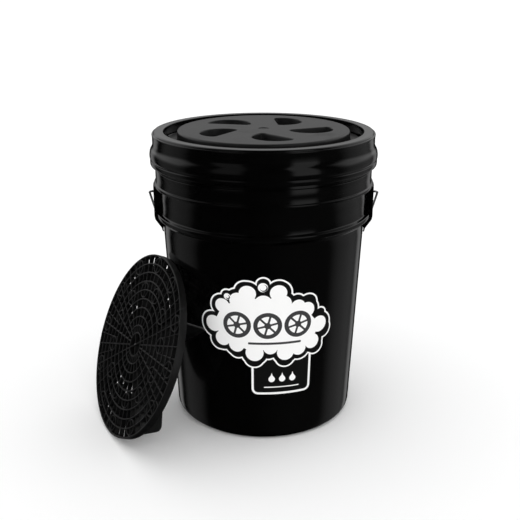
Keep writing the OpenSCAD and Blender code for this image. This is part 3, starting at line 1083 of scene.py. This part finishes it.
@dataclass
class Label:
    """The die-cut foam cloud label with its tab, drawn flat and wrapped on the wall.

    Places on it are the distance along the wall from straight ahead and the height, in millimetres.
    """

    inks: tuple[bpy.types.Material, bpy.types.Material, bpy.types.Material]
    wall: Callable[[float], float]
    lift: float = 0.06
    thick: float = 0.24
    arc_r: float = 140.0
    die_line: float = 2.2
    border: float = 8.0
    cloud: tuple[Corner, ...] = (
        (-69.6, 176, 21), (-58.6, 205, 16), (-48.6, 222, 10), (-23.6, 230, 16.5), (-0.1, 241, 10.7),
        (19.9, 231, 17), (45.4, 213, 13), (61.4, 209, 15), (81.4, 190, 10), (86.4, 166, 15.5),
        (74.4, 143, 14.5), (53.4, 139, 13), (30.4, 131, 15), (7.4, 141, 13), (-12.6, 131, 15.5),
        (-35.6, 143, 14.5), (-61.6, 154, 16),
    )
    foam: tuple[Corner, ...] = (
        (-70.5, 177, 12), (-56, 206, 10.5), (-34, 216, 11.5), (-21, 227, 11.5), (0, 213, 12),
        (20, 228, 11.5), (26, 212, 12), (47, 205.5, 10.5), (60, 199, 11.5), (80.5, 174, 12),
        (70, 150, 11), (50, 143, 10.5), (31, 139, 12), (10, 147, 10), (-12, 139, 12.5),
        (-37, 150, 11), (-57, 157, 11),
    )
    bubbles: tuple[Corner, ...] = ((-0.5, 236.5, 6.6), (-48.5, 220.5, 4.6))

    def disc(self, x: float, z: float, r: float, count: int = 40) -> Outline:
        """A round outline."""
        return [polar(x, z, r, FULL_TURN * i / count) for i in range(count)]

    def middle(self, puffs: Sequence[Corner]) -> Outline:
        """The polygon through the puffs' middles, run anticlockwise as every outline is."""
        return [Vector(puff[:2]) for puff in reversed(puffs)]

    def slab(self, left: float, right: float, low: float, high: float, r: float) -> Outline:
        """A rectangle with round corners."""
        points: Outline = []
        for cx, cz, start in (
            (right - r, high - r, 0), (left + r, high - r, 90),
            (left + r, low + r, 180), (right - r, low + r, 270),
        ):
            points += [polar(cx, cz, r, math.radians(start + 15 * i)) for i in range(7)]
        return points

    def drop(self, x: float, z: float, r: float) -> Outline:
        """A water drop's outline: a disc drawn up to a point."""
        arc = [polar(x, z, r, math.radians(a)) for a in range(-205, 26, 10)]
        point = [(0.22, 1.35), (0.0, 2.2), (-0.22, 1.35)]
        return arc + [Vector((x + across * r, z + up * r)) for across, up in point]

    def wheel(self, x: float, z: float, r: float) -> tuple[list[Outline], list[Outline]]:
        """A plain wheel sign: a tyre with a hub and six spokes.

        Args:
            x: Its place along the wall.
            z: Its height.
            r: Its radius.

        Returns:
            The outlines that are inked, and those cut out of the tyre.
        """
        inked = [self.disc(x, z, r, 56), self.disc(x, z, 0.24 * r, 28)]
        for k in range(3):
            c, s = math.cos(math.radians(15 + 60 * k)), math.sin(math.radians(15 + 60 * k))
            reach, half = 0.75 * r, 0.075 * r
            inked.append([Vector((x + a * c - b * s, z + a * s + b * c))
                          for a, b in ((-reach, -half), (reach, -half), (reach, half), (-reach, half))])
        return inked, [self.disc(x, z, 0.70 * r, 48)]

    def flat(self) -> bmesh.types.BMesh:
        """Draw the label flat, each region in its ink.

        Returns:
            The flat mesh, with X along the wall, Y as height and Z as thickness, in millimetres.
        """
        groups: dict[str, list[Outline]] = {}
        for kind, inset in (("die", 0.0), ("band", self.die_line)):
            groups[kind] = [self.disc(x, z, r - inset) for x, z, r in self.cloud] + [self.middle(self.cloud)]
            groups[kind] += [self.disc(x, z, r + self.border - inset) for x, z, r in self.foam]
        groups["foam"] = [self.disc(*p) for p in self.foam] + [self.middle(self.foam)]
        groups["foam"] += [self.disc(x, z, r, 28) for x, z, r in self.bubbles]
        groups["shine"] = [self.disc(x + 1.1, z - 0.9, r - 1.5, 24) for x, z, r in self.bubbles]
        groups["shine_white"] = [self.disc(x + 0.2, z - 0.1, r - 2.3, 24) for x, z, r in self.bubbles]
        groups["tab"] = [self.slab(-16.6, 69.4, 74, 150, 9)]
        groups["tab_black"] = [self.slab(-13.4, 66.2, 77.2, 148, 6)]
        groups["drops"] = [self.drop(12 + 15 * k, 98, 4.6) for k in range(3)]
        groups["drops"].append(self.slab(1, 52, 84.6, 86.2, 0.7))
        groups["sign"], groups["sign_cut"], groups["sign_in"] = [], [], []
        for k in range(3):
            inked, cut = self.wheel(6 + 42 * (k - 1), 180, 19.5)
            groups["sign"].append(inked[0])
            groups["sign_in"] += inked[1:]
            groups["sign_cut"] += cut
        groups["sign_in"].append(self.slab(-21, 53, 151.6, 155.0, 1.6))
        points: list[Vector] = []
        faces: list[list[int]] = []
        kinds: list[str] = []
        for kind, outlines in groups.items():
            for outline in outlines:
                faces.append(list(range(len(points), len(points) + len(outline))))
                points += outline
                kinds.append(kind)
        verts, _, tris, _, _, sources = delaunay_2d_cdt(points, [], faces, 1, 1e-5)
        bm = bmesh.new()
        made = [bm.verts.new((v.x, v.y, 0.0)) for v in verts]
        for tri, source in zip(tris, sources):
            face = bm.faces.new([made[i] for i in tri])
            face.material_index = self.ink({kinds[i] for i in source}).value
        out = bmesh.ops.extrude_face_region(bm, geom=list(bm.faces), use_keep_orig=True)["geom"]
        bmesh.ops.translate(bm, verts=new_verts(out), vec=(0, 0, self.thick))
        return bm

    def ink(self, kinds: set[str]) -> Ink:
        """Which ink a region is printed in, from the outlines that hold it."""
        if "band" in kinds:
            if "sign_in" in kinds or ("sign" in kinds and "sign_cut" not in kinds):
                return Ink.GREY
            if "shine" in kinds and "shine_white" not in kinds:
                return Ink.GREY
            return Ink.WHITE if "foam" in kinds else Ink.BLACK
        if "die" in kinds:
            return Ink.WHITE
        if "drops" in kinds:
            return Ink.WHITE
        return Ink.BLACK if "tab_black" in kinds else Ink.WHITE

    def wrap(self, bm: bmesh.types.BMesh) -> None:
        """Cut the flat label into narrow strips and lay it on the tapered wall."""
        x = -96.0
        while x < 104.0:
            geom = list(bm.verts) + list(bm.edges) + list(bm.faces)
            bmesh.ops.bisect_plane(bm, geom=geom, plane_co=(x, 0, 0), plane_no=(1, 0, 0))
            x += 4.0
        for vert in bm.verts:
            angle = vert.co.x / self.arc_r
            r = self.wall(vert.co.y) + self.lift + vert.co.z
            vert.co = Vector((r * math.sin(angle), -r * math.cos(angle), vert.co.y)) * MM

    def build(self) -> None:
        """Make and dress the label."""
        bm = self.flat()
        self.wrap(bm)
        bmesh.ops.recalc_face_normals(bm, faces=bm.faces)
        label = link_piece("foam_cloud_label", bm, 50.0)
        for ink in self.inks:
            label.data.materials.append(ink)
        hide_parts("front_label")
        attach(label, "pail")
        log.info("label: %d faces", len(label.data.polygons))


# ---------------------------------------------------------------------------
# Studio
# ---------------------------------------------------------------------------


@dataclass(frozen=True)
class SoftBox:
    """A soft panel of light around the set, by its direction in degrees.

    Azimuth 0 is in front of the bucket, and 90 is its +X side.
    """

    azimuth: float
    half_width: float
    low: float
    high: float
    strength: float
    blur: float = 4.0


@dataclass
class Studio:
    """Plain pale floor, soft white room, the panels that gloss picks up, and the camera."""

    boxes: Sequence[SoftBox] = field(default_factory=lambda: (
        SoftBox(-146, 6, -60, 40, 0.50, 5.0),
        SoftBox(146, 5, -60, 40, 0.50, 5.0),
        SoftBox(-104, 14, -45, 30, 0.20, 13.0),
        SoftBox(112, 16, -45, 30, 0.24, 16.0),
        SoftBox(42, 13, -9, 62, 0.62, 3.0),
        SoftBox(-36, 14, 0, 50, 0.2, 5.0),
        SoftBox(180, 95, 6, 60, 0.75, 12.0),
        SoftBox(70, 60, -70, 6, 0.035, 25.0),
    ))
    room: float = 1.44

    def world(self) -> None:
        """Build the room: white to the eye and to matt faces, dark with soft boxes to gloss."""
        world = bpy.data.worlds.new("studio")
        bpy.context.scene.world = world
        world.use_nodes = True
        world.cycles.sampling_method = "NONE"
        tree = world.node_tree
        tree.nodes.clear()

        def add(kind: str, **settings: object) -> bpy.types.Node:
            """Add a node to the world and set its plain properties."""
            made = tree.nodes.new(kind)
            for key, value in settings.items():
                setattr(made, key, value)
            return made

        def step(value: bpy.types.NodeSocket, low: float, high: float) -> bpy.types.NodeSocket:
            """A smooth step from one value to another."""
            made = add("ShaderNodeMapRange", interpolation_type="SMOOTHSTEP")
            tree.links.new(value, made.inputs["Value"])
            made.inputs["From Min"].default_value = low
            made.inputs["From Max"].default_value = high
            return made.outputs["Result"]

        def times(
            a: bpy.types.NodeSocket, b: object, operation: str = "MULTIPLY",
        ) -> bpy.types.NodeSocket:
            """Join two values by a maths node, a product unless told otherwise."""
            made = add("ShaderNodeMath", operation=operation)
            tree.links.new(a, made.inputs[0])
            if isinstance(b, bpy.types.NodeSocket):
                tree.links.new(b, made.inputs[1])
            else:
                made.inputs[1].default_value = b
            return made.outputs[0]

        direction = add("ShaderNodeTexCoord").outputs["Generated"]
        split = add("ShaderNodeSeparateXYZ")
        tree.links.new(direction, split.inputs[0])
        level = add("ShaderNodeCombineXYZ")
        tree.links.new(split.outputs["X"], level.inputs["X"])
        tree.links.new(split.outputs["Y"], level.inputs["Y"])
        unit = add("ShaderNodeVectorMath", operation="NORMALIZE")
        tree.links.new(level.outputs[0], unit.inputs[0])
        total: bpy.types.NodeSocket | None = None
        for box in self.boxes:
            azimuth = math.radians(box.azimuth)
            dot = add("ShaderNodeVectorMath", operation="DOT_PRODUCT")
            tree.links.new(unit.outputs[0], dot.inputs[0])
            dot.inputs[1].default_value = (math.sin(azimuth), -math.cos(azimuth), 0)
            wide = math.cos(math.radians(min(box.half_width + box.blur, 179)))
            near = math.cos(math.radians(max(box.half_width - box.blur, 0)))
            mask = step(dot.outputs["Value"], wide, near)
            low, high, blur = math.radians(box.low), math.radians(box.high), math.radians(box.blur)
            rising = step(split.outputs["Z"], math.sin(low - blur), math.sin(low + blur))
            falling = step(split.outputs["Z"], math.sin(high + blur), math.sin(high - blur))
            light = times(times(times(mask, rising), falling), box.strength)
            total = light if total is None else times(total, light, "ADD")
        gloss = add("ShaderNodeBackground")
        tree.links.new(total, gloss.inputs["Strength"])
        plain = add("ShaderNodeBackground")
        plain.inputs["Strength"].default_value = self.room
        path = add("ShaderNodeLightPath")
        mix = add("ShaderNodeMixShader")
        tree.links.new(path.outputs["Is Glossy Ray"], mix.inputs[0])
        tree.links.new(plain.outputs[0], mix.inputs[1])
        tree.links.new(gloss.outputs[0], mix.inputs[2])
        tree.links.new(mix.outputs[0], add("ShaderNodeOutputWorld").inputs["Surface"])

    def floor(self) -> None:
        """Lay the pale floor, which gloss doesn't pick up."""
        bm = bmesh.new()
        bmesh.ops.create_grid(bm, x_segments=1, y_segments=1, size=30.0)
        floor = link_piece("floor", bm)
        sheet = Sheet("pale_floor")
        sheet.fix(Base_Color=(0.955, 0.955, 0.955, 1), Roughness=1.0, Specular_IOR_Level=0.0)
        floor.data.materials.append(sheet.material)
        floor.visible_glossy = False

    def camera(self) -> None:
        """Set the camera."""
        data = bpy.data.cameras.new("camera")
        data.sensor_width = 36.0
        data.lens = 55.8
        data.clip_start = 0.01
        data.clip_end = 100.0
        camera = bpy.data.objects.new("camera", data)
        bpy.context.scene.collection.objects.link(camera)
        camera.location = (0.0, -1.1396, 0.6184)
        camera.rotation_euler = (math.radians(90 - 19.01), 0.0, 0.0044)
        bpy.context.scene.camera = camera

    def build(self) -> None:
        """Set up the studio."""
        bpy.context.scene.view_settings.view_transform = "Standard"
        self.world()
        self.floor()
        self.camera()


def main() -> None:
    """Build every class in order."""
    logging.basicConfig(level=logging.INFO, format="%(name)s: %(message)s")
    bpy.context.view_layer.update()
    palette = Palette(Workshop())
    pail = Pail(palette.pail)
    pail.build()
    LidRing(palette.ring, palette.rubber).build()
    SpinLid(palette.lid, palette.rubber).build()
    Bail(palette.wire, palette.grip).build()
    GritGuard(palette.guard, pail.wall_r).build()
    Label((palette.white_print, palette.black_print, palette.grey_print), pail.wall_r).build()
    Studio().build()


if __name__ == "__main__":
    main()
